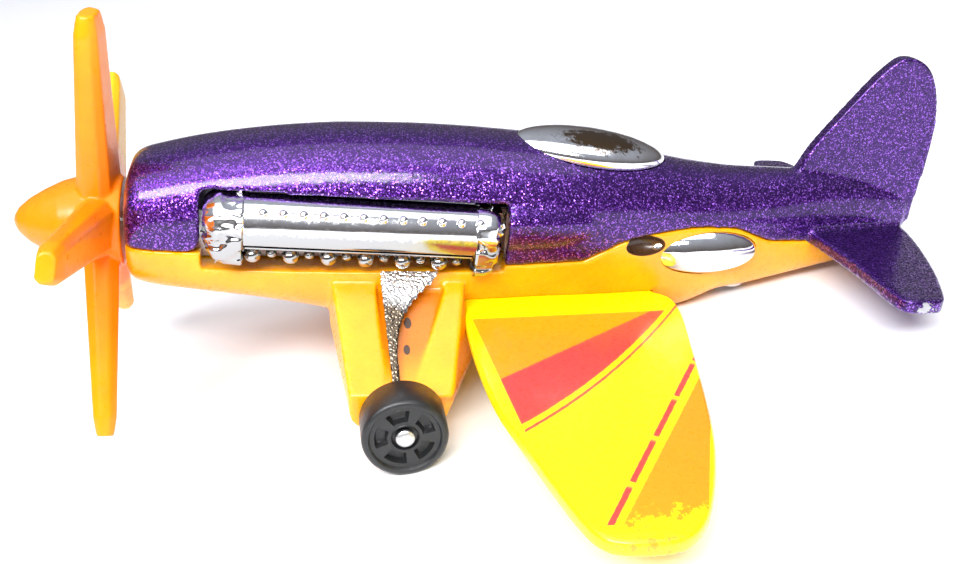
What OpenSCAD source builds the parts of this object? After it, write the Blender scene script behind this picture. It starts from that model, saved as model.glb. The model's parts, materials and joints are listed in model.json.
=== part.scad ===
// Die-cast toy fighter plane with a five-blade propeller and two free-rolling wheels.
// The fuselage axis lies along X with the nose towards -X, and the plane stands
// nose-up on its two wheels and a heel under the belly, with the ground at Z = 0.

/* [Stance] */
// Nose-up angle of the fuselage when the plane stands, in degrees
pitch = 13; // [12:0.1:14]
// Height of the fuselage origin above the ground
axis_height = 12.33; // [12.3:0.01:12.4]

/* [Fuselage] */
// Distance of the nose face ahead of the fuselage origin
nose_len = 30.6; // [30.5:0.05:30.7]
// Distance of the tail end behind the fuselage origin
tail_len = 41.3; // [40:0.1:41.5]
// Wall thickness of the cast shell and of the plastic base
wall = 1.3; // [1:0.05:1.5]
// Gap between neighbouring fixed pieces
seam = 0.05; // [0.03:0.01:0.1]

/* [Tail] */
// Thickness of the fin
fin_t = 1.3; // [1:0.1:1.6]
// Thickness of the tailplane
stab_t = 1.2; // [1:0.1:1.4]

/* [Wing] */
// Thickness of the wing plate
wing_t = 1.3; // [1:0.1:1.5]
// Height of the wing's upper face above the fuselage axis (negative is below)
wing_top = -5.3; // [-5.5:0.05:-5.2]

/* [Propeller] */
// Number of blades
blade_count = 5; // [3:1:5]
// Radius at the blade tips
prop_r = 18.5; // [17:0.1:19]
// Radius of the hub
hub_r = 3.9; // [3.8:0.05:4]
// Length of the spinner cone with the hub
spinner_len = 9.2; // [9:0.1:9.4]
// Pitch of the blades, as the angle between chord and propeller disc
blade_pitch = 8; // [4:1:12]
// Turn of the first blade away from upright, towards the left side
prop_turn = 6; // [0:1:71]
// Radius of the steel propeller shaft
shaft_r = 0.8; // [0.7:0.05:0.9]

/* [Wheels] */
// Radius of a wheel
wheel_r = 3.5; // [3.45:0.01:3.55]
// Width of a wheel
wheel_w = 3.5; // [3.2:0.1:3.6]
// Distance of the outer wheel faces from the symmetry plane
track_half = 19; // [18.8:0.1:19.2]
// Radius of the steel axle
axle_r = 0.55; // [0.5:0.01:0.6]
// Radial clearance of a running fit
run_fit = 0.06; // [0.03:0.01:0.08]

/* [Engine] */
// Length of a rocker cover between its end caps
bank_len = 19.6; // [19:0.1:19.8]
// Downward slope of the engine banks towards the tail, in degrees
bank_slope = 2.5; // [2:0.5:3]
// Number of exhaust stubs on each side
stub_count = 6; // [4:1:6]

/* [Hidden] */

// Number of sides of true round shapes, of hulled shapes and of the fuselage sections
round_fn = 48;
hull_fn = 24;
ring_n = 28;
// Rings of a bubble, and the latitude of its last ring at either end
bubble_n = 12;
bubble_end = 84;

// The fuselage's outline over its length: [x, height or half-width]
top_line = [[-nose_len, 4], [-30.3, 5], [-29.9, 5.6], [-29.3, 6], [-28, 6.4], [-24.5, 7.25],
    [-20, 8], [-16, 8.45], [-12, 8.7], [-7, 8.75], [-3, 8.65], [2, 8.35], [8, 7.8], [13, 7.1],
    [16, 6.5], [20, 5.85], [24, 5.5], [30, 5.4], [36, 4.6], [tail_len, 3.4]];
bottom_line = [[-nose_len, -4.2], [-30, -4.8], [-24.7, -5.6], [-20, -6.2], [-16, -6.9], [-13, -7.5],
    [-5, -8.2], [5, -8.6], [14, -8.7], [18, -8.4], [19.5, -8], [21, -7.3], [23, -6.4], [25.4, -6],
    [28.4, -5.3], [32.5, -4.3], [35, -3.7], [38, -2.7], [tail_len, -1.2]];
side_line = [[-nose_len, 4.4], [-30.1, 5.1], [-28, 5.7], [-22, 6.1], [-12, 6.4], [2, 6.4], [8, 6],
    [14, 5.2], [20, 4.4], [26, 3.5], [31, 2.7], [36, 1.8], [tail_len, 0.9]];
stations = [-nose_len, -30.3, -29.9, -29.3, -28, -24.5, -20, -16, -12, -7, -2, 2, 6, 10, 14, 17, 19, 21,
    23, 25.4, 28.4, 32, 35, 38, tail_len];
// Exponents of the section's corners: 1 is round, smaller is squarer
top_bulge = 0.9;
belly_bulge = [[-nose_len, 0.6], [-13, 0.6], [-3, 0.7], [6, 1], [16, 1], [21, 0.8], [tail_len, 0.9]];
// Height of the widest line of the sections
waist_z = 0.6;

// The parting line of the shell and the base, seen from the side: [x, z]
part_front_z = -0.8;
part_bay_z = -2.3;
// Thickness of the deck that closes the base below the engine banks
deck_t = 0.9;
bay_front = -24.4;
bay_back = 1.4;
skirt_line = [[bay_back, -1.7], [8.2, -1.5], [9.7, -0.9], [12.5, 0.3], [15.5, 0.85], [19.2, 1.2],
    [22.8, 0.95], [25.4, 0], [26.8, -0.5], [31, -0.7], [43, -0.7]];

// The side bays in the shell that the engine banks fill: the top edge's height above the banks'
// own line, and its slope towards the tail
bay_top = 2.5;
bay_slope = 1.7;
bay_floor_y = 3.4;

fin_line = [[28, 3], [29.5, 5.5], [30.2, 7.3], [31.9, 9.8], [34.9, 13.9], [36, 15.2], [37, 16.1],
    [37.8, 16.4], [39, 16.2], [40.3, 15.4], [41.4, 13.4], [42, 11], [42.2, 8.5], [42.1, 6], [41.8, 3.5],
    [41.6, -1], [31, -1]];
stab_line = [[30, 0], [30.8, -2.7], [31.4, -6], [32.1, -10.6], [32.3, -14.5], [32.6, -16.6], [33.3, -17.4],
    [35.8, -17.4], [36.6, -16.8], [37.2, -15.5], [38.6, -11.8], [39.8, -7.5], [40.6, -3.7], [40.9, 0]];
stab_z = -0.3;

// One half of the wing plate, from its root to its tip
wing_line = [[-2, 0], [-2, -5.8], [-2.3, -10.5], [-2.3, -16], [-1.9, -22.3], [-1, -26.7], [0.7, -34.3],
    [1.5, -37.2], [2.2, -38.6], [3.3, -39.4], [7, -39.5], [8.7, -38.6], [10, -37], [11.2, -34.6],
    [12.6, -31], [13.7, -27.5], [14.8, -22.6], [16, -16.2], [17.3, -9.2], [17.6, -5.8], [17, -4.4],
    [15.6, -3.7], [15, 0]];

// Engine bank sections seen along the fuselage: [outward, up] from the bank's own line
bank_section = [[0, -2.1], [3.7, -2.1], [4.3, -1.6], [4.3, 0.3], [4, 1.2], [3.2, 1.8], [2.2, 2.05], [0, 2.05]];
cap_section = [[0, -3.1], [3.2, -3.3], [4.3, -2.6], [4.5, 1], [3.6, 1.95], [2.3, 2.25], [0, 2.25]];
bank_mid = [-11.2, 3.6, 1.7];
cap_front_len = 3.1;
cap_back_len = 2.3;
stub_r = 0.75;
stub_drop = 2.7;

// Canopy: a bubble as an ellipsoid [length, width, height] / 2 that leans with the deck
canopy_mid = [9.4, 0, 7];
canopy_half = [7.1, 3.9, 1.75];
canopy_lean = 6;

// Side scoop: half of a flat ellipsoid on each side of the rear fuselage
scoop_mid = [20, 3.6, -1.25];
scoop_half = [5.35, 1.85, 2.2];
scoop_in_y = 3.1;

// Landing gear: the axle, and the corners of each leg at its root and tip
axle_x = -8.04;
axle_z = -10.92;
leg_root_x = [-13.6, -2.1];
leg_root_low = 0.4;
leg_tip_x = [-12.2, -4.2];
leg_out_y = 14.9;
leg_corner_r = 1.4;

// Propeller shaft: its tip in the hub, and its inner end with the collar
shaft_z = -0.36;
shaft_tip = -36;
shaft_end = -23;
collar_r = 1.5;
collar_len = 1;
collar_gap = 0.4;
hub_back = -31;
carrier_front = -29;
carrier_back = 22.5;
carrier_front_half_w = 3.2;
carrier_back_half_w = 1.9;
carrier_low = -2.2;
carrier_h = 4.2;

// Blade sections at the root and the tip: [place on the axis, half chord, half thickness]
blade_root = [-33, 2.4, 1.45];
blade_tip = [-33.1, 1.55, 0.85];
blade_root_r = 2.6;
blade_tip_h = 1.2;
// How far each blade's tip is bent back towards the nose (negative is forward)
blade_bend = [0.6, -0.9, 0.6, -0.4, -0.7];

rivet_x = [-18, 24.6];
rivet_r = 1.1;
rivet_head_r = 1.6;
rivet_head_t = 0.8;

// Heel: a small flat under the belly, level with the ground, centred at heel_x along the fuselage
heel_x = 17.4;
heel_len = 3;
heel_w = 4.4;
heel_h = 1.4;

// Half of the spread between the spinner's tip and the fin's trailing edge centres the row on X
function ground_x(x, z) = x * cos(pitch) + z * sin(pitch);
centre_x = (ground_x(hub_back - spinner_len, shaft_z) + ground_x(41.4, 13.4)) / 2;

// Places a fuselage-frame shape in the standing attitude
module posed() {
    translate([-centre_x, 0, axis_height]) rotate([0, pitch, 0]) children();
}

// Mirrors a left-side shape to the right side
module on_side(side) {
    if (side == "right") mirror([0, 1, 0]) children();
    else children();
}

// A rounded section ring at x, shrunk by inset
function ring(x, inset) =
    let (
        up = lookup(x, top_line) - waist_z - inset,
        down = waist_z - lookup(x, bottom_line) - inset,
        out = lookup(x, side_line) - inset
    )
    [for (i = [0:ring_n - 1])
        let (a = 360 * i / ring_n, bulge = sin(a) > 0 ? top_bulge : lookup(x, belly_bulge))
        [x, out * sign(cos(a)) * pow(abs(cos(a)), bulge),
            waist_z + (sin(a) > 0 ? up : down) * sign(sin(a)) * pow(abs(sin(a)), bulge)]];

// A closed skin over a list of rings
module skin(rings) {
    n = len(rings[0]);
    last = len(rings) - 1;
    sides = [for (j = [0:last - 1]) for (i = [0:n - 1]) for (half = [0, 1])
        let (k = (i + 1) % n)
        half == 0 ? [j * n + i, (j + 1) * n + i, j * n + k]
            : [j * n + k, (j + 1) * n + i, (j + 1) * n + k]];
    front = [for (i = [0:n - 1]) i];
    back = [for (i = [n - 1:-1:0]) last * n + i];
    polyhedron(points = [for (r = rings) for (p = r) p], faces = concat([front], sides, [back]));
}

// The whole fuselage, or its inside with a positive inset
module fuselage(inset = 0) {
    places = [for (x = stations) if (x > -nose_len + inset && x < tail_len - 3 * inset) x];
    ends = inset == 0 ? stations : concat([-nose_len + inset], places);
    skin([for (x = ends) ring(x, inset)]);
}

// A side-view polygon [x, z] made into a slab across the fuselage
module slab(outline, half_w) {
    translate([0, half_w, 0]) rotate([90, 0, 0]) linear_extrude(2 * half_w) polygon(outline);
}

// The region above the parting line, raised by a gap
module above_parting(gap) {
    slab(concat([[-nose_len - 1, 12], [-nose_len - 1, part_front_z + gap], [bay_front, part_front_z + gap],
        [bay_front, part_bay_z + gap], [bay_back, part_bay_z + gap]],
        [for (p = skirt_line) [p[0], p[1] + gap]], [[38, 12]]), 12);
}

// The shell's side bay, on the left, with its sloping top edge
module side_bay() {
    intersection() {
        translate([bay_front, -12, -8]) cube([bay_back - bay_front, 12 - bay_floor_y, 16]);
        translate([bank_mid[0], 0, bank_mid[2]]) rotate([0, bay_slope, 0])
            translate([-20, -12, bay_top - 10]) cube([40, 12, 10]);
    }
}

// A bubble: an ellipsoid of the given half sizes, as rings along X
module bubble(half) {
    skin([for (lat = [-bubble_end:2 * bubble_end / bubble_n:bubble_end])
        [for (a = [0:360 / ring_n:359])
            [half[0] * sin(lat), half[1] * cos(lat) * cos(a), half[2] * cos(lat) * sin(a)]]]);
}

module canopy_bubble(grow) {
    translate(canopy_mid) rotate([0, canopy_lean, 0]) bubble([for (h = canopy_half) h + grow]);
}

module scoop_bubble(grow) {
    translate([scoop_mid[0], -scoop_mid[1], scoop_mid[2]]) bubble([for (h = scoop_half) h + grow]);
}

module tail_surfaces() {
    slab(fin_line, fin_t / 2);
    for (flip = [0, 1]) mirror([0, flip, 0])
        translate([0, 0, stab_z - stab_t / 2]) linear_extrude(stab_t) polygon(stab_line);
}

// Cast upper fuselage with fin and tailplane
module body_shell() {
    color("indigo") posed() {
        difference() {
            intersection() {
                fuselage();
                above_parting(seam);
            }
            fuselage(wall);
            for (flip = [0, 1]) mirror([0, flip, 0]) {
                side_bay();
                scoop_bubble(seam);
            }
            canopy_bubble(seam);
            shaft_passage();
        }
        intersection() {
            tail_surfaces();
            translate([27, -25, -0.95]) cube([16, 50, 20]);
        }
        for (x = rivet_x) translate([x, 0, 3])
            difference() {
                cylinder(r = 2, h = lookup(x, top_line) - 3.8, $fn = round_fn);
                translate([0, 0, -1]) cylinder(r = rivet_r, h = 3, $fn = round_fn);
            }
    }
}

// Clearance round the propeller shaft in the nose walls
module shaft_passage() {
    translate([-nose_len - 1, 0, shaft_z]) rotate([0, 90, 0])
        cylinder(r = shaft_r + 0.6, h = wall + 2, $fn = round_fn);
}

// Left landing-gear leg: a broad fairing from the belly out to the wheel
module leg() {
    hull() {
        translate([leg_root_x[0], -5.8, -7.4]) cube([leg_root_x[1] - leg_root_x[0], 1.6, 4.6]);
        translate([leg_root_x[0], -5.8, -7.4]) cube([leg_root_low - leg_root_x[0], 1.6, 0.4]);
        for (x = [leg_tip_x[0] + leg_corner_r, leg_tip_x[1] - leg_corner_r])
            translate([x, -leg_out_y, -11.1]) rotate([-90, 0, 0])
                cylinder(r = leg_corner_r, h = 1.5, $fn = hull_fn);
        translate([leg_tip_x[0] - 0.4, -leg_out_y + 1, -9.6]) cube([leg_tip_x[1] - leg_tip_x[0] + 1.6, 1, 1.6]);
    }
}

// The groove in the leg that the strut lies in
module leg_groove() {
    hull() {
        translate([-10.3, -6.8, -3.8]) cube([7.2, 0.5, 6]);
        translate([-10, -leg_out_y - 1, -9.8]) cube([3.6, 0.5, 6]);
    }
}

// Plastic lower fuselage with both landing-gear legs
module base() {
    color("gold") difference() {
        union() {
            posed() {
                difference() {
                    fuselage();
                    above_parting(-seam);
                    fuselage(wall);
                    for (flip = [0, 1]) mirror([0, flip, 0]) scoop_bubble(seam);
                    tail_surfaces();
                }
                intersection() {
                    fuselage(wall / 2);
                    translate([bay_front, -8, part_bay_z - seam - deck_t])
                        cube([bay_back - bay_front, 16, deck_t]);
                }
                difference() {
                    for (flip = [0, 1]) mirror([0, flip, 0]) difference() {
                        leg();
                        leg_groove();
                        translate([wing_line[1][0], -20, wing_top - wing_t]) cube([8, 20, 8]);
                    }
                    fuselage(wall);
                }
                for (x = rivet_x) translate([x, 0, lookup(x, bottom_line) + 0.9])
                    cylinder(r = 1.9, h = 2.6, $fn = round_fn);
            }
            heel();
        }
        posed() {
            wing_plate(seam);
            translate([axle_x, -20, axle_z]) rotate([-90, 0, 0])
                cylinder(r = axle_r, h = 40, $fn = round_fn);
            shaft_passage();
            for (x = rivet_x) translate([x, 0, lookup(x, bottom_line)]) {
                translate([0, 0, -1]) cylinder(r = rivet_r, h = 7, $fn = round_fn);
                translate([0, 0, -1]) cylinder(r = rivet_head_r, h = 1 + rivet_head_t, $fn = round_fn);
            }
        }
        translate([-60, -60, -5]) cube([120, 120, 5]);
    }
}

// The heel that the plane rests on, in the standing attitude
module heel() {
    translate([ground_x(heel_x, lookup(heel_x, bottom_line)) - centre_x - heel_len / 2, -heel_w / 2, 0])
        cube([heel_len, heel_w, heel_h]);
}

// The wing plate, grown by a gap in height for the slot that holds it
module wing_plate(gap) {
    for (flip = [0, 1]) mirror([0, flip, 0])
        translate([0, 0, wing_top - wing_t - gap]) linear_extrude(wing_t + 2 * gap)
            polygon(wing_line);
}

module wing() {
    color("yellow") posed() wing_plate(0);
}

module canopy() {
    color("silver") posed() intersection() {
        canopy_bubble(0);
        translate([0, -6, 5.6]) cube([20, 12, 6]);
    }
}

// Left engine bank: rocker cover, end caps and exhaust stubs
module engine_bank(side) {
    color("silver") posed() on_side(side)
        translate([bank_mid[0], -bank_mid[1], bank_mid[2]]) rotate([0, bank_slope, 0]) {
            bank_bar(bank_section, -bank_len / 2, bank_len);
            bank_bar(cap_section, -bank_len / 2 - cap_front_len, cap_front_len);
            bank_bar(cap_section, bank_len / 2, cap_back_len);
            for (i = [0:stub_count - 1])
                translate([-bank_len / 2 + 1 + i * (bank_len - 4) / (stub_count - 1), -3, -stub_drop])
                    sphere(stub_r, $fn = round_fn);
        }
}

// A bar with a section [outward, up] between two places along the bank
module bank_bar(section, start, length) {
    translate([start, 0, 0]) rotate([90, 0, 90]) linear_extrude(length)
        polygon([for (p = section) [-p[0], p[1]]]);
}

module engine_bank_left() { engine_bank("left"); }
module engine_bank_right() { engine_bank("right"); }

module air_scoop(side) {
    color("silver") posed() on_side(side) intersection() {
        scoop_bubble(0);
        translate([10, -8, -5]) cube([20, 8 - scoop_in_y, 8]);
    }
}

module air_scoop_left() { air_scoop("left"); }
module air_scoop_right() { air_scoop("right"); }

// Left gear strut: a tapered plate that lies in the leg's groove
module gear_strut(side) {
    color("darkgray") posed() on_side(side) hull() {
        translate([-9.5, -7.2, -2.9]) cube([5.1, 0.8, 0.9]);
        translate([-8.8, -leg_out_y, -8.9]) cube([0.9, 0.8, 0.5]);
    }
}

module gear_strut_left() { gear_strut("left"); }
module gear_strut_right() { gear_strut("right"); }

// Inner frame that carries the canopy, the banks and the propeller shaft
module insert_carrier() {
    color("gray") posed() difference() {
        union() {
            carrier_bar(carrier_front, bay_back, carrier_front_half_w);
            carrier_bar(bay_back, carrier_back, carrier_back_half_w);
            translate([5.5, -carrier_back_half_w, carrier_low]) cube([8, 2 * carrier_back_half_w, 7.6]);
            translate([scoop_mid[0] - 1.5, seam - scoop_in_y, scoop_mid[2] - 0.8])
                cube([3, 2 * (scoop_in_y - seam), 1.6]);
        }
        translate([carrier_front - 1, 0, shaft_z]) rotate([0, 90, 0])
            cylinder(r = shaft_r + run_fit, h = 12, $fn = round_fn);
        translate([shaft_end - collar_len - collar_gap, -collar_r - collar_gap, -3])
            cube([collar_len + 2 * collar_gap, 2 * (collar_r + collar_gap), shaft_z + collar_r + collar_gap + 3]);
        for (x = rivet_x) translate([x, 0, -3]) cylinder(r = 2.6, h = 6, $fn = round_fn);
    }
}

// A stretch of the carrier between two places along the fuselage
module carrier_bar(start, end, half_w) {
    translate([start, -half_w, carrier_low]) cube([end - start, 2 * half_w, carrier_h]);
}

// One blade along +Z, thick at the root and blunt at the tip, its tip bent along the axis
module blade(bend) {
    hull() {
        blade_section(blade_root, blade_root_r, 1, 0);
        blade_section(blade_tip, prop_r - blade_tip_h, blade_tip_h, bend);
    }
}

// A slice of a blade, rounded at its edges, from a radius outward
module blade_section(section, radius, height, bend) {
    translate([section[0] + bend, 0, radius]) rotate([0, 0, 90 - blade_pitch])
        scale([1, section[2] / section[1], 1]) cylinder(r = section[1], h = height, $fn = hull_fn);
}

// Propeller moulding: spinner, hub and blades
module propeller() {
    color("darkorange") posed() difference() {
        union() {
            translate([hub_back, 0, shaft_z]) rotate([0, -90, 0]) rotate_extrude($fn = round_fn)
                polygon([[0, 0], [hub_r, 0], [hub_r, 3.2], [3.4, 5.1], [2.7, 6.5], [1.9, 7.8], [1.1, 8.7],
                    [0.5, 9.05], [0, spinner_len]]);
            for (i = [0:blade_count - 1]) translate([0, 0, shaft_z])
                rotate([prop_turn + i * 360 / blade_count, 0, 0]) blade(blade_bend[i]);
        }
        translate([shaft_tip, 0, shaft_z]) rotate([0, 90, 0])
            cylinder(r = shaft_r, h = 10, $fn = round_fn);
    }
}

// Steel shaft pressed into the propeller, held in the carrier by its collar
module propeller_shaft() {
    color("lightgray") posed() translate([shaft_tip, 0, shaft_z]) rotate([0, 90, 0]) {
        cylinder(r = shaft_r, h = shaft_end - shaft_tip, $fn = round_fn);
        translate([0, 0, shaft_end - shaft_tip - collar_len])
            cylinder(r = collar_r, h = collar_len, $fn = round_fn);
    }
}

// Steel axle with a head outside each wheel
module axle() {
    color("lightgray") posed() translate([axle_x, 0, axle_z]) rotate([-90, 0, 0]) {
        translate([0, 0, -track_half]) cylinder(r = axle_r, h = 2 * track_half, $fn = round_fn);
        for (end = [-1, 1]) translate([0, 0, end * (track_half - 0.15) - 0.25])
            cylinder(r = 0.85, h = 0.5, $fn = round_fn);
    }
}

// A wheel: bevelled rim, dished face with a hub round the axle head
module wheel(side) {
    color("dimgray") posed() on_side(side) translate([axle_x, -track_half, axle_z]) rotate([-90, 0, 0])
        rotate_extrude($fn = round_fn) polygon([[axle_r + run_fit, 0.6], [1.05, 0.6], [1.05, 0], [2.6, 0],
            [wheel_r - 0.35, 0], [wheel_r, 0.35], [wheel_r, wheel_w - 0.3], [wheel_r - 0.3, wheel_w],
            [axle_r + run_fit, wheel_w]]);
}

module wheel_left() { wheel("left"); }
module wheel_right() { wheel("right"); }

// Post that clamps the base to the shell, with its head sunk in the belly
module rivet(x) {
    color("silver") posed() translate([x, 0, lookup(x, bottom_line)]) {
        translate([0, 0, 0.15]) cylinder(r = rivet_head_r - seam, h = rivet_head_t - 0.15, $fn = round_fn);
        translate([0, 0, 0.15]) cylinder(r = rivet_r - seam, h = 3.6 - lookup(x, bottom_line), $fn = round_fn);
    }
}

module rivet_front() { rivet(rivet_x[0]); }
module rivet_rear() { rivet(rivet_x[1]); }

body_shell();
base();
wing();
canopy();
engine_bank_left();
engine_bank_right();
air_scoop_left();
air_scoop_right();
gear_strut_left();
gear_strut_right();
insert_carrier();
propeller();
propeller_shaft();
axle();
wheel_left();
wheel_right();
rivet_front();
rivet_rear();
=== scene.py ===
import json
import math

import bmesh
import bpy
import numpy as np
from mathutils import Matrix, Vector, noise


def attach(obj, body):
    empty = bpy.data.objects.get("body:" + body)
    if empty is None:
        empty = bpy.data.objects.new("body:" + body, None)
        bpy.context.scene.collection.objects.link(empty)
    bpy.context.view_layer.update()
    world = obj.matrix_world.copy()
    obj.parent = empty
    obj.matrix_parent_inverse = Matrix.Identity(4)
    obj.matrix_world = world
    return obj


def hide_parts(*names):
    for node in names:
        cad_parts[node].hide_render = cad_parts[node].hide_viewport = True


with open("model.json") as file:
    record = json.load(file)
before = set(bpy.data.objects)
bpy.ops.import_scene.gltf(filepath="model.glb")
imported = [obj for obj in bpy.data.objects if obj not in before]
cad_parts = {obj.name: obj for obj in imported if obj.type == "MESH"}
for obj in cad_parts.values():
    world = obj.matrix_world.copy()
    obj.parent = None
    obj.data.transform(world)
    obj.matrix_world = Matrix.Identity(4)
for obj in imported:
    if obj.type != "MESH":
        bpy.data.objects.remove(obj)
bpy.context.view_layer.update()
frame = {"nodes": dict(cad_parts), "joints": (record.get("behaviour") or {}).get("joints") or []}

# Looks of a die-cast toy fighter plane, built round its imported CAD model. Shapes are made in
# fuselage millimetres: +X towards the tail, +Y to the right side, +Z up, with the origin on the
# fuselage axis. Each finished piece is then set in the standing attitude, in metres.

MM = 0.001
JOINTS = {joint["name"]: joint for joint in frame["joints"]}

# The propeller joint's place in fuselage millimetres fixes where the fuselage frame lies
BLADE_X, SHAFT_Z = -33.0, -0.36
SPIN_POINT = Vector((BLADE_X, 0, SHAFT_Z))
TAILWARD = -Vector(JOINTS["propeller_spin"]["axis"]).normalized()
UPWARD = Vector((-TAILWARD.z, 0, TAILWARD.x))
ATTITUDE = Matrix((TAILWARD, (0, 1, 0), UPWARD)).transposed().to_4x4()
FUSELAGE = (Matrix.Translation(JOINTS["propeller_spin"]["pos_m"]) @ ATTITUDE
            @ Matrix.Scale(MM, 4) @ Matrix.Translation(-SPIN_POINT))

LEFT, RIGHT = -1, 1
SIDES = {"left": LEFT, "right": RIGHT}

# Outlines of the fuselage over its length: [x, height or half width]
TOP = [(-30.6, 4), (-30.3, 5), (-29.9, 5.6), (-29.3, 6), (-28, 6.4), (-24.5, 7.25), (-20, 8),
       (-16, 8.45), (-12, 8.7), (-7, 8.75), (-3, 8.65), (2, 8.35), (8, 7.8), (13, 7.1), (16, 6.5),
       (20, 5.85), (24, 5.5), (30, 5.4), (36, 4.6), (41.3, 3.4)]
BOTTOM = [(-30.6, -4.2), (-30, -4.8), (-24.7, -5.6), (-20, -6.2), (-16, -6.9), (-13, -7.5), (-5, -8.2),
          (5, -8.6), (14, -8.7), (18, -8.4), (19.5, -8), (21, -7.3), (23, -6.4), (25.4, -6), (28.4, -5.3),
          (32.5, -4.3), (35, -3.7), (38, -2.7), (41.3, -1.2)]
SIDE = [(-30.6, 4.4), (-30.1, 5.1), (-28, 5.7), (-22, 6.1), (-12, 6.4), (2, 6.4), (8, 6), (14, 5.2),
        (20, 4.4), (26, 3.5), (31, 2.7), (36, 1.8), (41.3, 0.9)]
# Exponent that rounds the lower half: the smaller, the flatter the sides and the belly
BELLY = [(-30.6, 0.6), (-13, 0.6), (-3, 0.7), (6, 1), (16, 1), (21, 0.8), (41.3, 0.9)]
# Exponent that rounds the upper half of each cross section, and the height where the halves meet
TOP_BULGE = 0.9
WAIST_Z = 0.6
NOSE_X, TAIL_X = -30.6, 41.3
# Cutting blocks reach this far past the body: to the sides, ahead of the nose and behind the tail
REACH, AHEAD_X, BEHIND_X = 12, NOSE_X - 1, 43

# Parting line of shell and base: its height ahead of the bays and below them, the bays' ends along X,
# and its [x, z] course behind them
PART_FRONT_Z, PART_BAY_Z = -0.8, -2.3
BAY_FRONT, BAY_BACK = -24.4, 1.4
SKIRT = [(1.4, -1.7), (8.2, -1.5), (9.7, -0.9), (12.5, 0.3), (15.5, 0.85), (19.2, 1.2), (22.8, 0.95),
         (25.4, 0), (26.8, -0.5), (31, -0.7), (43, -0.7)]
# Radius of the parting line's corner ahead of the bays, and of each bay's upper front corner
CORNER_R, BAY_CORNER_R = 1.2, 0.9
# Thickness of shell and base, and the gap that pieces keep from each other
WALL, SEAM = 1.3, 0.06
# Grid size and smoothing passes of the two large castings
CASTING = (0.2, 5)

# Outlines of the tail and the wing. The fin's is [x, z], the others' are [x, y]
FIN = [(28, 3), (29.5, 5.5), (30.2, 7.3), (31.9, 9.8), (34.9, 13.9), (36, 15.2), (37, 16.1), (37.8, 16.4),
       (39, 16.2), (40.3, 15.4), (41.4, 13.4), (42, 11), (42.2, 8.5), (42.1, 6), (41.8, 3.5), (41.6, -0.9),
       (31, -0.9)]
STAB = [(30, 0), (30.8, -2.7), (31.4, -6), (32.1, -10.6), (32.3, -14.5), (32.6, -16.6), (33.3, -17.4),
        (35.8, -17.4), (36.6, -16.8), (37.2, -15.5), (38.6, -11.8), (39.8, -7.5), (40.6, -3.7), (40.9, 0)]
WING = [(-2, 0), (-2, -5.8), (-2.3, -10.5), (-2.3, -16), (-1.9, -22.3), (-1, -26.7), (0.7, -34.3),
        (1.5, -37.2), (2.2, -38.6), (3.3, -39.4), (7, -39.5), (8.7, -38.6), (10, -37), (11.2, -34.6),
        (12.6, -31), (13.7, -27.5), (14.8, -22.6), (16, -16.2), (17.3, -9.2), (17.6, -5.8), (17, -4.4),
        (15.6, -3.7), (15, 0)]
WING_TOP, WING_T = -5.3, 1.3
FIN_T, STAB_T, STAB_Z = 1.3, 1.2, -0.3

# Engine banks: middle, tilt and length of a rocker cover; how far its bay reaches above that middle,
# the bay's tilt, floor and lower end; the length of the end caps and the depth of their wrinkles
BANK_MID, BANK_SLOPE, BANK_LEN = Vector((-11.2, 3.6, 1.7)), math.radians(2.5), 19.6
BAY_TOP, BAY_SLOPE, BAY_FLOOR_Y, BAY_LOW = 2.5, math.radians(1.7), 3.4, -6
CAP_FRONT, CAP_BACK, WRINKLE = 3.1, 2.3, 0.5
# Sections across a bank: [outward, up] from its middle
COVER_SECTION = [(0, -1.4), (4.1, -1.4), (4.3, -1.3), (4.35, -0.9), (4.35, -0.2), (4.25, 0.6),
                 (3.85, 1.4), (3.3, 1.95), (2.5, 2.15), (0, 2.15)]
LIP_SECTION = [(0.5, -1.6), (4.25, -1.6), (4.3, -1.55), (4.3, -1.4), (0.5, -1.4)]
KEEL_SECTION = [(0, -2.4), (2.6, -2.4), (2.9, -2.1), (2.9, -1.5), (0, -1.5)]
CAP_SECTION = [(0, -3.3), (3.7, -3.5), (4.3, -3.1), (4.5, -2), (4.5, 1), (3.6, 1.95), (2.3, 2.25),
               (0, 2.25)]
# How an end cap draws in: [part of its length, width, rise, drop], the last three as factors
CAP_TAPER = [(0, 1, 1, 1), (0.45, 1, 1, 0.97), (0.7, 0.97, 0.95, 0.88), (0.9, 0.85, 0.78, 0.7),
             (1, 0.74, 0.6, 0.56)]
# The row of bolts on a cover: number, first, spacing, radius, and the row's place across the bank
BOLTS, BOLT_FIRST_X, BOLT_STEP, BOLT_R, BOLT_ROW = 12, -8.05, 1.63, 0.4, (0, -3.8, 1.4)
# The exhaust stubs below it, large and small in turn: number of pairs, and [middle, half size, steps]
STUBS = 6
STUB_PAIR = [((0, -3.1, -2.5), (0.75, 0.85, 0.72), (32, 24)),
             ((1.55, -2.8, -2.45), (0.5, 0.6, 0.4), (24, 16))]

# Canopy and scoops: middle, half size and lean; where they are cut off; their play in their openings
CANOPY_MID, CANOPY_HALF, CANOPY_LEAN = Vector((9.4, 0, 7)), (7.1, 3.9, 1.75), math.radians(6)
CANOPY_FLOOR_Z, CANOPY_PLAY = 5.6, 0.02
SCOOP_MID, SCOOP_HALF = Vector((20.0, 3.6, -1.25)), (5.35, 1.85, 2.2)
SCOOP_INNER_Y, SCOOP_PLAY = -3.1, 0.03
# A browner, darker patch on the canopy: middle, and reach along each axis
BROWN_PATCH_MID, BROWN_PATCH_REACH = (9.8, -1.6, 8.0), (3.9, 1.8, 3.3)
# The blister that fairs each bay into the rear body, and the intake slot ahead of each scoop
BLISTER_MID, BLISTER_HALF = Vector((1.4, 4.6, 1.6)), (9.4, 2.3, 2.7)
INTAKE_MID, INTAKE_HALF = Vector((14.2, 5.1, -0.25)), (1.9, 1.1, 0.95)
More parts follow.
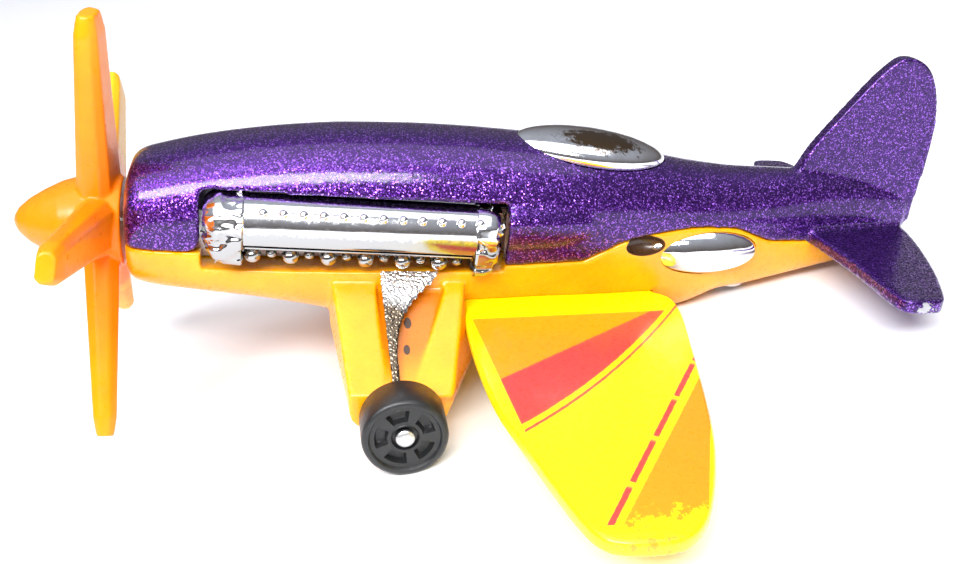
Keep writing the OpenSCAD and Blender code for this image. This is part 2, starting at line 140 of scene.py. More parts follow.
# Dark marks and an intake slot's painted shade on the left half of the base: middle, and reach along each
# axis
DARK_MARKS_AND_INTAKE_SHADE = [((-7.2, -9.2, -5.7), (0.32, 1.2, 0.32)), ((-7.4, -11.3, -7.1), (0.28, 1.2, 0.28)),
              ((14.2, -5.1, -0.25), (1.95, 1.15, 1.0))]

# Landing-gear leg on the right side: blocks that its limb spans, high and low on the body and by the
# wheel, and the rounded tip's two ends along X and Y
LEG_BLOCKS = [((-13.6, 4.2, -7.4), (-2.1, 5.8, -2.8)), ((-13.6, 4.2, -7.4), (0.4, 5.8, -7.0)),
              ((-12.3, 14, -10.2), (-3.8, 14.9, -9.4))]
LEG_TIP_X, LEG_TIP_Y, LEG_TIP_Z, LEG_TIP_R = (-12.2, -4.2), (13.4, 14.9), -11.1, 1.4
# What is cut from it: the strut's groove, from its upper to its lower end, and the wing's notch
GROOVE_BLOCKS = [((-9.8, 6.3, -3.8), (-3.9, 6.8, 2.2)), ((-9.3, 15.4, -9.8), (-7.3, 15.9, -3.8))]
NOTCH = ((-2.05, 4, WING_TOP - WING_T), (6, 20, 1.4))
# Left gear strut: its front edge at the bank, that edge's run to the wheel, the width at its tip, and
# how much wider it is at the bank and how quickly that goes
STRUT_START, STRUT_RUN = (-9.5, -6.7, -2.35), (0.7, -7.75, -6.2)
STRUT_TIP_W, STRUT_SPREAD, STRUT_CURVE = 0.7, 4.4, 3.2
# Height of its edges and of its face above its middle, and the width of the bevel between them
STRUT_EDGE, STRUT_HALF, STRUT_BEVEL = 0.25, 0.35, 0.12

AXLE_X, AXLE_Z, AXLE_R, AXLE_HEAD_R = -8.04, -10.92, 0.55, 0.76
WHEEL_R, WHEEL_BORE_R, TRACK_HALF = 3.5, 0.62, 19
# A wheel's face and the recesses in it: depth of the face, number, depth and radius of the recesses
FACE_DEPTH, RECESSES, RECESS_DEPTH, RECESS_R = 0.34, 5, 0.55, 1.95
HUB_BACK, PROP_R = -31.0, 18.5
SPINNER = [(0, 0), (3.8, 0), (3.9, 0.1), (3.9, 3.2), (3.7, 4.1), (3.4, 5.1), (2.7, 6.5), (1.9, 7.8),
           (1.1, 8.7), (0.5, 9.05), (0, 9.2)]
PASSAGE_R, SHAFT_BORE_R = 1.4, 0.8
# Pitch between a blade's chord and the disc, and the turn of the first blade away from upright
BLADE_PITCH, PROP_TURN = math.radians(8), math.radians(6)
# Radius where a blade starts, then [start, loss to the tip] of half its chord and half its thickness
BLADE_START, BLADE_CHORD, BLADE_THICK = 2.2, (2.4, 0.85), (1.5, 0.6)
# Corners across a blade, as parts of half its chord and half its thickness
BLADE_SECTION = [(-1, 0.45), (-0.7, 1), (0.7, 1), (1, 0.45), (1, -0.45), (0.7, -1), (-0.7, -1), (-1, -0.45)]
# How far each blade's tip is bent towards the tail; a negative bend is forward
BLADE_BEND = (0.6, -0.9, 0.6, -0.4, -0.7)
RIVET_X, RIVET_HEAD_R, RIVET_HEAD_DEPTH, RIVET_R = (-18, 24.6), 1.6, 0.8, 1.1

# Straight edges of the wing's printing, as [slope, offset] of the span against x
ROOT_LINE, FIELD_LINE, BAND_LINE = (-0.086, 9.15), (-0.735, 18.6), (-1.1, 25.3)
THIN_LINE, DASH_LINE, TIP_LINE = (-1.093, 26.2), (-1.654, 42.7), (-1.61, 43.9)
THIN_HALF, DASH_HALF, DASH_STEP, DASH_GAP = 0.12, 0.22, 7.4, 0.09

# Studio: colours of the room's lower and upper walls, and [name, place, aim, size, power] of each light
ROOM_LOW, ROOM_HIGH = (0.12, 0.1, 0.09, 1), (0.42, 0.44, 0.5, 1)
SOFTBOXES = [("key", (-0.09, -0.28, 0.31), (0, 0, 0), (0.42, 0.1), 3.2),
             ("top", (-0.02, -0.08, 0.5), (-0.02, -0.08, 0), (0.9, 0.42), 2.0)]
FLOOR_HALF = 3.0
# Camera in the fuselage frame: its place, and the picture's right and down directions
CAMERA_PLACE = Vector((-16.96, -92.87, 38.56))
CAMERA_RIGHT, CAMERA_DOWN = Vector((0.98603, -0.14999, 0.07239)), Vector((0, -0.43466, -0.90060))
CAMERA_LENS, CAMERA_SENSOR = 42.0, 36.0


# ---------------------------------------------------------------- mesh helpers

def curve(points):
    """A smooth curve through [x, value] points that never overshoots them, as a function of x."""
    xs, ys = np.array(points, float).T
    step, slope = np.diff(xs), np.diff(ys) / np.diff(xs)
    product, total = slope[:-1] * slope[1:], slope[:-1] + slope[1:]
    middle = np.where(product > 0, 2 * product / np.where(total == 0, 1, total), 0)
    tangent = np.concatenate([slope[:1], middle, slope[-1:]])

    def at(x):
        x = np.clip(x, xs[0], xs[-1])
        i = np.clip(np.searchsorted(xs, x, side="right") - 1, 0, len(step) - 1)
        t, h = (x - xs[i]) / step[i], step[i]
        return ((2 * t**3 - 3 * t**2 + 1) * ys[i] + (t**3 - 2 * t**2 + t) * h * tangent[i]
                + (3 * t**2 - 2 * t**3) * ys[i + 1] + (t**3 - t**2) * h * tangent[i + 1])
    return at


TOP_AT, BOTTOM_AT, SIDE_AT, BELLY_AT = curve(TOP), curve(BOTTOM), curve(SIDE), curve(BELLY)


def rounded(outline, passes=2):
    """A closed outline with its corners cut to curves."""
    pts = np.array(outline, float)
    for _ in range(passes):
        nxt = np.roll(pts, -1, axis=0)
        pts = np.stack([0.75 * pts + 0.25 * nxt, 0.25 * pts + 0.75 * nxt], 1).reshape(-1, pts.shape[1])
    return pts


def placed(name, data):
    """A new object in the scene with the given mesh, light or camera."""
    obj = bpy.data.objects.new(name, data)
    bpy.context.scene.collection.objects.link(obj)
    return obj


def rework(obj, change=None):
    """Runs change(bm) on an object's mesh, then turns its faces outward."""
    bm = bmesh.new()
    bm.from_mesh(obj.data)
    if change:
        change(bm)
    bmesh.ops.recalc_face_normals(bm, faces=bm.faces)
    bm.to_mesh(obj.data)
    bm.free()


def merge_doubles(bm):
    """Makes one of vertices that lie in the same place."""
    bmesh.ops.remove_doubles(bm, verts=bm.verts, dist=1e-4)


def mesh_object(name, verts, faces):
    """A new object from vertices in fuselage millimetres."""
    mesh = bpy.data.meshes.new(name)
    mesh.from_pydata([tuple(v) for v in verts], [], [tuple(f) for f in faces])
    obj = placed(name, mesh)
    rework(obj)
    return obj


def loft(name, rings):
    """A skin over rings of equal point count, closed at both ends."""
    n = len(rings[0])
    verts = [p for ring in rings for p in ring]
    faces = []
    for j in range(len(rings) - 1):
        for i in range(n):
            k = (i + 1) % n
            faces.append((j * n + i, j * n + k, (j + 1) * n + k, (j + 1) * n + i))
    faces += [range(n), range((len(rings) - 1) * n, len(rings) * n)]
    return mesh_object(name, verts, faces)


def prism(name, outline, low, high, plane="xy"):
    """An outline raised from low to high across its plane: xy rises along Z, xz along Y."""
    if plane == "xy":
        rings = [[(a, b, level) for a, b in outline] for level in (low, high)]
    else:
        rings = [[(a, level, b) for a, b in outline] for level in (low, high)]
    return loft(name, rings)


def rectangle(low, high):
    """The corners of a rectangle, in order."""
    return [(low[0], low[1]), (high[0], low[1]), (high[0], high[1]), (low[0], high[1])]


def hull(name, points):
    """The convex hull of some points."""
    bm = bmesh.new()
    for p in points:
        bm.verts.new(p)
    result = bmesh.ops.convex_hull(bm, input=bm.verts)
    bmesh.ops.delete(bm, geom=result["geom_interior"], context="VERTS")
    mesh = bpy.data.meshes.new(name)
    bm.to_mesh(mesh)
    bm.free()
    return placed(name, mesh)


def block(low, high, side=RIGHT):
    """The eight corners of a box that is given on the right side."""
    xs, ys, zs = zip(low, high)
    return [(x, side * y, z) for x in xs for y in ys for z in zs]


def lathe(name, profile, steps=96, axis_y=False):
    """A [radius, height] profile turned about an axis: X by default, or Y."""
    rings = []
    for i in range(steps):
        a = 2 * math.pi * i / steps
        if axis_y:
            rings.append([(r * math.cos(a), h, r * math.sin(a)) for r, h in profile])
        else:
            rings.append([(h, r * math.cos(a), r * math.sin(a)) for r, h in profile])
    n = len(profile)
    verts = [p for ring in rings for p in ring]
    faces = [(j * n + i, j * n + i + 1, (j + 1) % steps * n + i + 1, (j + 1) % steps * n + i)
             for j in range(steps) for i in range(n - 1)]
    obj = mesh_object(name, verts, faces)
    rework(obj, merge_doubles)
    return obj


def rod(name, radius, start, end, axis_y=False):
    """A round rod along X, or along Y."""
    return lathe(name, [(0, start), (radius, start), (radius, end), (0, end)], 32, axis_y)


def moved(obj, matrix):
    """Transforms an object's mesh, and keeps its faces outward in a mirror image."""
    obj.data.transform(matrix)
    if matrix.determinant() < 0:
        obj.data.flip_normals()
    return obj


def copy_of(obj, name):
    """A second object with a mesh of its own."""
    twin = obj.copy()
    twin.data = obj.data.copy()
    twin.name = name
    bpy.context.scene.collection.objects.link(twin)
    return twin


def settle(obj):
    """Applies every modifier on an object."""
    graph = bpy.context.evaluated_depsgraph_get()
    mesh = bpy.data.meshes.new_from_object(obj.evaluated_get(graph))
    old, obj.data = obj.data, mesh
    obj.modifiers.clear()
    bpy.data.meshes.remove(old)
    return obj


def combine(obj, others, operation):
    """Cuts, adds or intersects closed objects with obj; the others are used up."""
    for other in others:
        step = obj.modifiers.new("combine", "BOOLEAN")
        step.operation = operation
        step.solver = "EXACT"
        step.object = other
        settle(obj)
        bpy.data.objects.remove(other)
    return obj


def cast(obj, voxel, smoothing):
    """Melts an object into one skin with softly rounded edges, as a casting or moulding has."""
    remesh = obj.modifiers.new("melt", "REMESH")
    remesh.mode = "VOXEL"
    remesh.voxel_size = voxel
    remesh.use_smooth_shade = True
    soften = obj.modifiers.new("soften", "SMOOTH")
    soften.factor = 0.5
    soften.iterations = smoothing
    return settle(obj)


def bevelled(obj, width, segments=3, angle=35):
    """Bevels the edges that are sharper than an angle in degrees."""
    bevel = obj.modifiers.new("bevel", "BEVEL")
    bevel.width = width
    bevel.segments = segments
    bevel.limit_method = "ANGLE"
    bevel.angle_limit = math.radians(angle)
    return settle(obj)


def joined(name, parts):
    """Several meshes as one object."""
    bm = bmesh.new()
    for part in parts:
        bm.from_mesh(part.data)
        bpy.data.objects.remove(part)
    mesh = bpy.data.meshes.new(name)
    bm.to_mesh(mesh)
    bm.free()
    return placed(name, mesh)


def finish_piece(obj, name, material, body, nodes, smooth_angle):
    obj.name = name
    obj.data.name = name
    moved(obj, FUSELAGE)
    obj.data.materials.clear()
    obj.data.materials.append(material)
    obj.data.shade_smooth()
    obj.data.set_sharp_from_angle(angle=math.radians(smooth_angle))
    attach(obj, body)
    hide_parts(*nodes)


# ---------------------------------------------------------------- material helpers

def put(tree, kind, inputs=(), **settings):
    """Adds a node. inputs maps a socket's name or number to a value or to another node's output."""
    node = tree.nodes.new(kind)
    for key, value in settings.items():
        setattr(node, key, value)
    for key, value in dict(inputs).items():
        if isinstance(value, bpy.types.NodeSocket):
            tree.links.new(value, node.inputs[key])
        else:
            node.inputs[key].default_value = value
    return node


def feed(shader, socket, value):
    """Links a value to a shader's socket."""
    shader.id_data.links.new(value, shader.inputs[socket])


def calc(tree, operation, a, b=0.0, c=0.0):
    """A value worked out from up to three others."""
    return put(tree, "ShaderNodeMath", {0: a, 1: b, 2: c}, operation=operation).outputs[0]


def vector_calc(tree, operation, inputs, output=0):
    """A vector worked out from others, or with output "Value" a length."""
    return put(tree, "ShaderNodeVectorMath", inputs, operation=operation).outputs[output]


def mix(tree, amount, a, b):
    """Blends two colours."""
    node = put(tree, "ShaderNodeMix", {0: amount}, data_type="RGBA")
    for socket, value in ((node.inputs[6], a), (node.inputs[7], b)):
        if isinstance(value, bpy.types.NodeSocket):
            tree.links.new(value, socket)
        else:
            socket.default_value = value
    return node.outputs[2]


def fuselage_place(tree):
    """A surface point in fuselage millimetres, as a vector socket."""
    location, rotation, scale = FUSELAGE.inverted().decompose()
    place = put(tree, "ShaderNodeTexCoord").outputs["Object"]
    return put(tree, "ShaderNodeMapping", {"Vector": place, "Location": location,
                                           "Rotation": rotation.to_euler(), "Scale": scale}).outputs[0]


def new_material(name, color, roughness, sockets):
    """A principled material; returns it with its tree, its shader node and the place vector."""
    material = bpy.data.materials.new(name)
    material.use_nodes = True
    tree = material.node_tree
    shader = tree.nodes["Principled BSDF"]
    shader.inputs["Base Color"].default_value = (*color, 1)
    shader.inputs["Roughness"].default_value = roughness
    for socket, value in sockets.items():
        shader.inputs[socket].default_value = value
    return material, tree, shader, fuselage_place(tree)


def axes(tree, vector):
    """A vector's x, y and z sockets."""
    return put(tree, "ShaderNodeSeparateXYZ", {0: vector}).outputs


def texture_noise(tree, place, scale, detail=2.0, roughness=0.5):
    """Cloudy noise from 0 to 1; scale is in cells per unit of place."""
    return put(tree, "ShaderNodeTexNoise", {"Vector": place, "Scale": scale, "Detail": detail,
                                            "Roughness": roughness}).outputs[0]


def spread(tree, value, low, high, out_low=0.0, out_high=1.0):
    """Maps a value from one range to another, clamped."""
    bounds = {1: low, 2: high, 3: out_low, 4: out_high}
    return put(tree, "ShaderNodeMapRange", {0: value, **bounds}).outputs[0]


def bumped(tree, shader, heights, distance):
    """Sums bump layers of [height socket, strength] into the shader's normal."""
    normal = None
    for height, strength in heights:
        inputs = {"Height": height, "Strength": strength, "Distance": distance}
        if normal is not None:
            inputs["Normal"] = normal
        normal = put(tree, "ShaderNodeBump", inputs).outputs[0]
    feed(shader, "Normal", normal)


# ---------------------------------------------------------------- materials

def purple_enamel():
    """Purple lacquer over metal flake, with paint chipped at the fin's and tailplane's edges."""
    material, tree, shader, place = new_material("purple_enamel", (0.05, 0.01, 0.2), 0.3, {
        "Metallic": 0.85, "Coat Weight": 1.0, "Coat Roughness": 0.13, "Coat IOR": 1.38})
    # Flakes vary in depth of colour, and a few of them glint
    cells = put(tree, "ShaderNodeTexVoronoi", {"Vector": place, "Scale": 10.0})
    tint = put(tree, "ShaderNodeSeparateColor", {0: cells.outputs["Color"]})
    deep = mix(tree, tint.outputs[0], (0.011, 0.001, 0.04, 1), (0.062, 0.003, 0.19, 1))
    spark = spread(tree, tint.outputs[1], 0.76, 1.0)
    flaked = mix(tree, spark, deep, (0.42, 0.15, 0.88, 1))
    # Each flake lies at its own small tilt
    tilt = vector_calc(tree, "SUBTRACT", {0: cells.outputs["Color"], 1: (0.5, 0.5, 0.5)})
    tilt = vector_calc(tree, "SCALE", {0: tilt, "Scale": 0.45})
    smooth = put(tree, "ShaderNodeNewGeometry").outputs["Normal"]
    tilted = vector_calc(tree, "NORMALIZE", {0: vector_calc(tree, "ADD", {0: smooth, 1: tilt})})
    # Chips: ragged spots on the fin's leading edge and at the tailplane's tips
    x, y, z = axes(tree, place)
    ragged = texture_noise(tree, place, 1.3, 4.0, 0.7)
    fin_edge = calc(tree, "SUBTRACT", calc(tree, "MULTIPLY_ADD", z, 0.73, 24.75), x)
    on_fin = calc(tree, "MULTIPLY", spread(tree, fin_edge, -0.7, 0.15), spread(tree, z, 12.0, 15.0))
    on_tip = spread(tree, calc(tree, "ABSOLUTE", y), 16.7, 17.4)
    worn = calc(tree, "MULTIPLY", calc(tree, "MAXIMUM", on_fin, on_tip), ragged)
    chip = spread(tree, worn, 0.49, 0.53)
    feed(shader, "Base Color", mix(tree, chip, flaked, (0.5, 0.5, 0.52, 1)))
    feed(shader, "Roughness", spread(tree, chip, 0, 1, 0.3, 0.5))
    feed(shader, "Normal", tilted)
    orange_peel = put(tree, "ShaderNodeBump", {"Height": texture_noise(tree, place, 1.2, 2.0),
                                               "Strength": 0.05, "Distance": 0.0003}).outputs[0]
    feed(shader, "Coat Normal", orange_peel)
    return material


def yellow_plastic(name, color, shade):
    """Glossy moulded plastic with a soft glow, faint flow marks and fine scuffs."""
    material, tree, shader, place = new_material(name, color, 0.28, {
        "Coat Weight": 0.25, "Coat Roughness": 0.1, "Subsurface Weight": 0.35, "Subsurface Scale": 0.0012,
        "Subsurface Radius": (1.0, 0.55, 0.08)})
    cloud = texture_noise(tree, place, 0.25, 3.0)
    feed(shader, "Base Color", mix(tree, spread(tree, cloud, 0.35, 0.65), (*color, 1), (*shade, 1)))
    scuff = texture_noise(tree, place, 2.5, 6.0, 0.7)
    feed(shader, "Roughness", spread(tree, scuff, 0.3, 0.75, 0.22, 0.4))
    bumped(tree, shader, [(texture_noise(tree, place, 0.9, 2.0), 0.12), (scuff, 0.05)], 0.0002)
    return material


def wing_plastic():
    """The wing's yellow plastic with its printed bands, mirrored on the two halves."""
    material = yellow_plastic("wing_print", (0.97, 0.78, 0.0), (0.97, 0.72, 0.0))
    tree = material.node_tree
    shader = tree.nodes["Principled BSDF"]
    plain = shader.inputs["Base Color"].links[0].from_socket
    place = fuselage_place(tree)
    x, y, z = axes(tree, place)
    span = calc(tree, "ABSOLUTE", y)
    wobble = spread(tree, texture_noise(tree, place, 1.5, 3.0), 0, 1, -0.06, 0.06)

    def beyond(line):
        """How far a point lies outboard of the line span = offset + slope * x, in millimetres."""
        slope, offset = line
        edge = calc(tree, "SUBTRACT", span, calc(tree, "MULTIPLY_ADD", x, slope, offset))
        edge = calc(tree, "DIVIDE", edge, math.hypot(1, slope))
        return calc(tree, "ADD", edge, wobble)

    def side_of(distance, at=0.0):
        """1 where a distance is above a value, with a printed edge's sharpness."""
        return spread(tree, distance, at - 0.04, at + 0.04)

    def both(a, b):
        return calc(tree, "MULTIPLY", a, b)

    def inverse(a):
        return calc(tree, "SUBTRACT", 1.0, a)

    def within(distance, half):
        """1 on a stripe of the given half width."""
        return both(side_of(distance, -half), inverse(side_of(distance, half)))

    # Printing keeps clear of the wing's front and rear edges
    front = side_of(calc(tree, "SUBTRACT", x, calc(tree, "MULTIPLY_ADD", span, 0.075, -2.4)))
    tail_edge = side_of(calc(tree, "SUBTRACT", calc(tree, "MULTIPLY_ADD", span, -0.36, 23.2), x))
    # The orange field lies between the root and the red band
    inside = both(front, side_of(beyond(ROOT_LINE)))
    field_edge = side_of(beyond(FIELD_LINE))
    field = both(inside, inverse(field_edge))
    # The band's outer edge and the thin stripe beside it bow outwards
    bow = both(both(calc(tree, "ADD", x, 0.3), calc(tree, "SUBTRACT", 15.8, x)), 0.0125)
    band_edge = side_of(calc(tree, "SUBTRACT", beyond(BAND_LINE), bow))
    band = both(both(inside, field_edge), inverse(band_edge))
    thin = both(front, within(calc(tree, "SUBTRACT", beyond(THIN_LINE), bow), THIN_HALF))
    # Long dashes run along the orange tip
    along = calc(tree, "SUBTRACT", span, calc(tree, "MULTIPLY", x, 0.6))
    gaps = calc(tree, "FRACT", calc(tree, "DIVIDE", along, DASH_STEP))
    dashed = both(within(beyond(DASH_LINE), DASH_HALF), side_of(gaps, DASH_GAP))
    dashed = both(dashed, both(inverse(side_of(calc(tree, "SUBTRACT", span, 37.6))), tail_edge))
    # The tip's print has worn off in a ragged line
    tip_rough = spread(tree, texture_noise(tree, place, 1.3, 6.0, 0.8), 0.35, 0.65, -1.5, 1.5)
    worn_edge = calc(tree, "MULTIPLY_ADD", x, -0.22, 38.4)
    worn_off = calc(tree, "ADD", calc(tree, "SUBTRACT", span, worn_edge), tip_rough)
    tip = both(both(side_of(beyond(TIP_LINE)), tail_edge), inverse(side_of(worn_off)))
    upper = side_of(z, WING_TOP - 0.25)
    orange = both(upper, calc(tree, "MAXIMUM", field, tip))
    red = both(upper, calc(tree, "MAXIMUM", band, calc(tree, "MAXIMUM", thin, dashed)))
    # Scratches bare the plastic here and there
    fleck = inverse(spread(tree, texture_noise(tree, place, 4.0, 6.0, 0.8), 0.66, 0.7))
    color = mix(tree, both(orange, fleck), plain, (0.85, 0.3, 0.005, 1))
    color = mix(tree, both(red, fleck), color, (0.66, 0.06, 0.045, 1))
    # Grime where the tip has rubbed
    grime = spread(tree, texture_noise(tree, place, 1.2, 5.0, 0.7), 0.46, 0.58)
    rim = both(spread(tree, span, 38.2, 39.2), grime)
    color = mix(tree, both(rim, 0.75), color, (0.3, 0.16, 0.02, 1))
    feed(shader, "Base Color", color)
    return material


def chrome(name, roughness, waviness, dimples=0.0):
    """Vacuum-plated plastic: bright, slightly wavy, with fine pits, and dimples where hammered."""
    material, tree, shader, place = new_material(name, (0.86, 0.87, 0.89), roughness, {"Metallic": 1.0})
    pits = texture_noise(tree, place, 3.2, 5.0, 0.65)
    feed(shader, "Roughness", spread(tree, pits, 0.5, 0.85, roughness, roughness + 0.2))
    tarnish = spread(tree, texture_noise(tree, place, 0.5, 4.0, 0.6), 0.5, 0.8)
    feed(shader, "Base Color", mix(tree, tarnish, (0.9, 0.91, 0.93, 1), (0.74, 0.73, 0.7, 1)))
    layers = [(texture_noise(tree, place, 0.5, 1.0), waviness)]
    if dimples:
        cells = put(tree, "ShaderNodeTexVoronoi", {"Vector": place, "Scale": 4.5}, feature="SMOOTH_F1")
        layers.append((cells.outputs["Distance"], dimples))
    bumped(tree, shader, layers, 0.0004)
    return material


def retinted(material, mask, tint):
    """Shifts a material's colour to a tint where mask(tree, place) is 1."""
    tree = material.node_tree
    socket = tree.nodes["Principled BSDF"].inputs["Base Color"]
    color = mix(tree, mask(tree, fuselage_place(tree)), socket.links[0].from_socket, tint)
    tree.links.new(color, socket)
    return material


def cover_shade(tree, place):
    """Painted shade on the lower face of the rocker covers."""
    x, _, z = axes(tree, place)
    level = calc(tree, "MULTIPLY_ADD", x, math.tan(BANK_SLOPE), z)
    return spread(tree, calc(tree, "ADD", level, texture_noise(tree, place, 3.0, 3.0)), 1.9, 1.4)


def canopy_brown_patch(tree, place):
    """A browner, darker patch across the middle of the canopy."""
    reach = near(tree, place, BROWN_PATCH_MID, BROWN_PATCH_REACH)
    ragged = calc(tree, "MULTIPLY_ADD", texture_noise(tree, place, 1.3, 6.0, 0.8), -2.2, 1.1)
    return spread(tree, calc(tree, "ADD", reach, ragged), 1.0, 0.75)


def near(tree, place, middle, reach):
    """How far a point lies from a middle, in units of the reach along each axis."""
    away = vector_calc(tree, "SUBTRACT", {0: place, 1: middle})
    away = vector_calc(tree, "DIVIDE", {0: away, 1: reach})
    return vector_calc(tree, "LENGTH", {0: away}, "Value")


def mirrored(tree, place):
    """A place with both halves of the plane folded onto the left one."""
    x, y, z = axes(tree, place)
    left = calc(tree, "MULTIPLY", calc(tree, "ABSOLUTE", y), -1.0)
    return put(tree, "ShaderNodeCombineXYZ", {0: x, 1: left, 2: z}).outputs[0]


def groove_shade(tree, place):
    """Painted shade, dark orange, in the grooves of the legs."""
    x, y, z = axes(tree, mirrored(tree, place))
    depth = calc(tree, "MULTIPLY_ADD", y, -0.725, z)
    taper = calc(tree, "ADD", x, calc(tree, "MULTIPLY_ADD", y, -0.38, -6.0))
    inside = calc(tree, "MULTIPLY", spread(tree, depth, 1.3, 1.1), spread(tree, x, -10.2, -9.9))
    for value, outer, inner in ((taper, 0.3, -0.6), (y, -6.2, -6.8), (z, -10.4, -9.6)):
        inside = calc(tree, "MULTIPLY", inside, spread(tree, value, outer, inner))
    return inside


def dark_marks_and_intake_shade(tree, place):
    """Two dark marks beside each strut, and painted shade in the intake slots."""
    place = mirrored(tree, place)
    marks = [near(tree, place, middle, reach) for middle, reach in DARK_MARKS_AND_INTAKE_SHADE]
    closest = calc(tree, "MINIMUM", calc(tree, "MINIMUM", marks[0], marks[1]), marks[2])
    return spread(tree, closest, 1.02, 0.97)


def strut_shade(tree, place):
    """Painted shade on the lower stretch of the gear struts, deep in the leg's groove."""
    x, _, z = axes(tree, place)
    slant = calc(tree, "MULTIPLY_ADD", x, 0.35, z)
    return spread(tree, calc(tree, "ADD", slant, texture_noise(tree, place, 1.5, 3.0)), -5.6, -6.8)


def orange_plastic():
    """Translucent orange moulding with painted light: paler towards the blade tips where it is thin, and
    yellower on the far blades.
    """
    material, tree, shader, place = new_material("orange_plastic", (1.0, 0.25, 0.0), 0.36, {
        "Coat Weight": 0.1, "Coat Roughness": 0.2, "Subsurface Weight": 0.2, "Subsurface Scale": 0.001,
        "Subsurface Radius": (1.0, 0.42, 0.04), "Specular IOR Level": 0.3})
    _, y, z = axes(tree, place)
    radius = calc(tree, "SQRT", calc(tree, "ADD", calc(tree, "MULTIPLY", y, y),
                                     calc(tree, "POWER", calc(tree, "SUBTRACT", z, SHAFT_Z), 2.0)))
    flow = spread(tree, texture_noise(tree, place, 0.35, 3.0), 0.3, 0.7, -2.0, 2.0)
    # Painted light: paler towards the blade tips
    pale = spread(tree, calc(tree, "ADD", radius, flow), 8.0, 19.0)
    color = mix(tree, pale, (1.0, 0.21, 0.0, 1), (1.0, 0.3, 0.0, 1))
    # Painted light: the far blades are yellower where light shines through them
    far_painted_light = spread(tree, calc(tree, "ADD", y, flow), 4.0, 9.0)
    feed(shader, "Base Color", mix(tree, far_painted_light, color, (1.0, 0.5, 0.01, 1)))
    grain = texture_noise(tree, place, 1.1, 4.0, 0.6)
    feed(shader, "Roughness", spread(tree, grain, 0.3, 0.7, 0.26, 0.38))
    bumped(tree, shader, [(grain, 0.15)], 0.0002)
    return material


def black_plastic():
    """Satin black wheel plastic with fine scuffs and dust."""
    material, tree, shader, place = new_material("wheel_black", (0.012, 0.013, 0.014), 0.35, {})
    dust = texture_noise(tree, place, 1.8, 6.0, 0.7)
    dusty = mix(tree, spread(tree, dust, 0.55, 0.8), (0.012, 0.013, 0.014, 1), (0.05, 0.05, 0.05, 1))
    feed(shader, "Base Color", dusty)
    feed(shader, "Roughness", spread(tree, dust, 0.3, 0.8, 0.28, 0.55))
    bumped(tree, shader, [(dust, 0.1)], 0.0001)
    return material


def bright_steel(name, color):
    """Drawn wire or pressed metal with fine scratches."""
    material, tree, shader, place = new_material(name, color, 0.3, {"Metallic": 1.0})
    scratches = texture_noise(tree, place, 5.0, 5.0, 0.7)
    feed(shader, "Roughness", spread(tree, scratches, 0.3, 0.8, 0.22, 0.5))
    bumped(tree, shader, [(scratches, 0.2)], 0.0001)
    return material


# ---------------------------------------------------------------- fuselage pieces

def fuselage_solid(inset=0.0, spacing=0.5, sides=96):
    """The whole fuselage, or what is left of it under an inset, without fin, wings and legs."""
    xs = np.arange(NOSE_X + inset, TAIL_X - 2 * inset + 0.001, spacing)
    angles = np.linspace(0, 2 * math.pi, sides, endpoint=False)
    rings = []
    across, rise = np.cos(angles), np.sin(angles)
    for x in xs:
        up, down, out = TOP_AT(x) - WAIST_Z - inset, WAIST_Z - BOTTOM_AT(x) - inset, SIDE_AT(x) - inset
        bulge = np.where(rise > 0, TOP_BULGE, BELLY_AT(x))
        y = out * np.sign(across) * np.abs(across) ** bulge
        z = WAIST_Z + np.where(rise > 0, up, down) * np.sign(rise) * np.abs(rise) ** bulge
        rings.append([(x, b, c) for b, c in zip(y, z)])
    return loft("fuselage", rings)


def inner_room():
    """The hollow inside shell and base, in coarse steps because it is never seen."""
    return fuselage_solid(WALL, 1.5, 32)


def skirt_line(gap=0.0):
    """The parting line behind the bays, as [x, z] points."""
    skirt = curve(SKIRT)
    return [(x, float(skirt(x)) + gap) for x in np.arange(BAY_BACK, BEHIND_X, 0.6)]


def above_parting(gap):
    """The space above the parting line, raised by a gap, with a rounded corner ahead of the bays."""
    r = CORNER_R
    corner = [(BAY_FRONT - r + r * math.sin(a), PART_FRONT_Z + gap + r - r * math.cos(a))
              for a in np.linspace(0, math.pi / 2, 7)]
    front = [(AHEAD_X, REACH), (AHEAD_X, PART_FRONT_Z + gap)] + corner
    front += [(BAY_FRONT, PART_BAY_Z + gap), (BAY_BACK, PART_BAY_Z + gap)]
    return prism("above", front + skirt_line(gap) + [(BEHIND_X, REACH)], -REACH, REACH, "xz")


def below_parting():
    """The space below the parting line."""
    front = [(AHEAD_X, -REACH), (AHEAD_X, PART_FRONT_Z), (BAY_FRONT, PART_FRONT_Z),
             (BAY_FRONT, PART_BAY_Z), (BAY_BACK, PART_BAY_Z)]
    return prism("below", front + skirt_line() + [(BEHIND_X, -REACH)], -REACH, REACH, "xz")


def side_bay(side):
    """The opening in the shell for an engine bank, with a rounded upper front corner."""
    def top(x):
        return BANK_MID.z + BAY_TOP - (x - BANK_MID.x) * math.tan(BAY_SLOPE)

    r = BAY_CORNER_R
    arc = [(BAY_FRONT + r - r * math.cos(a), top(BAY_FRONT) - r + r * math.sin(a))
           for a in np.linspace(0, math.pi / 2, 6)]
    outline = [(BAY_FRONT, BAY_LOW)] + arc + [(BAY_BACK, top(BAY_BACK)), (BAY_BACK, BAY_LOW)]
    return prism("bay", outline, *sorted((side * BAY_FLOOR_Y, side * REACH)), "xz")


def bubble(mid, half, grow, lean=0.0, side=RIGHT, steps=(48, 32)):
    """A full ellipsoid from its middle and half sizes, enlarged by grow and leant about Y."""
    arc = [(max(1e-6, math.sin(a)), -math.cos(a)) for a in np.linspace(0, math.pi, steps[1])]
    size = Matrix.Diagonal((half[0] + grow, half[1] + grow, half[2] + grow, 1))
    place = Matrix.Translation((mid[0], side * mid[1], mid[2])) @ Matrix.Rotation(lean, 4, "Y")
    return moved(lathe("bubble", arc, steps[0]), place @ size)


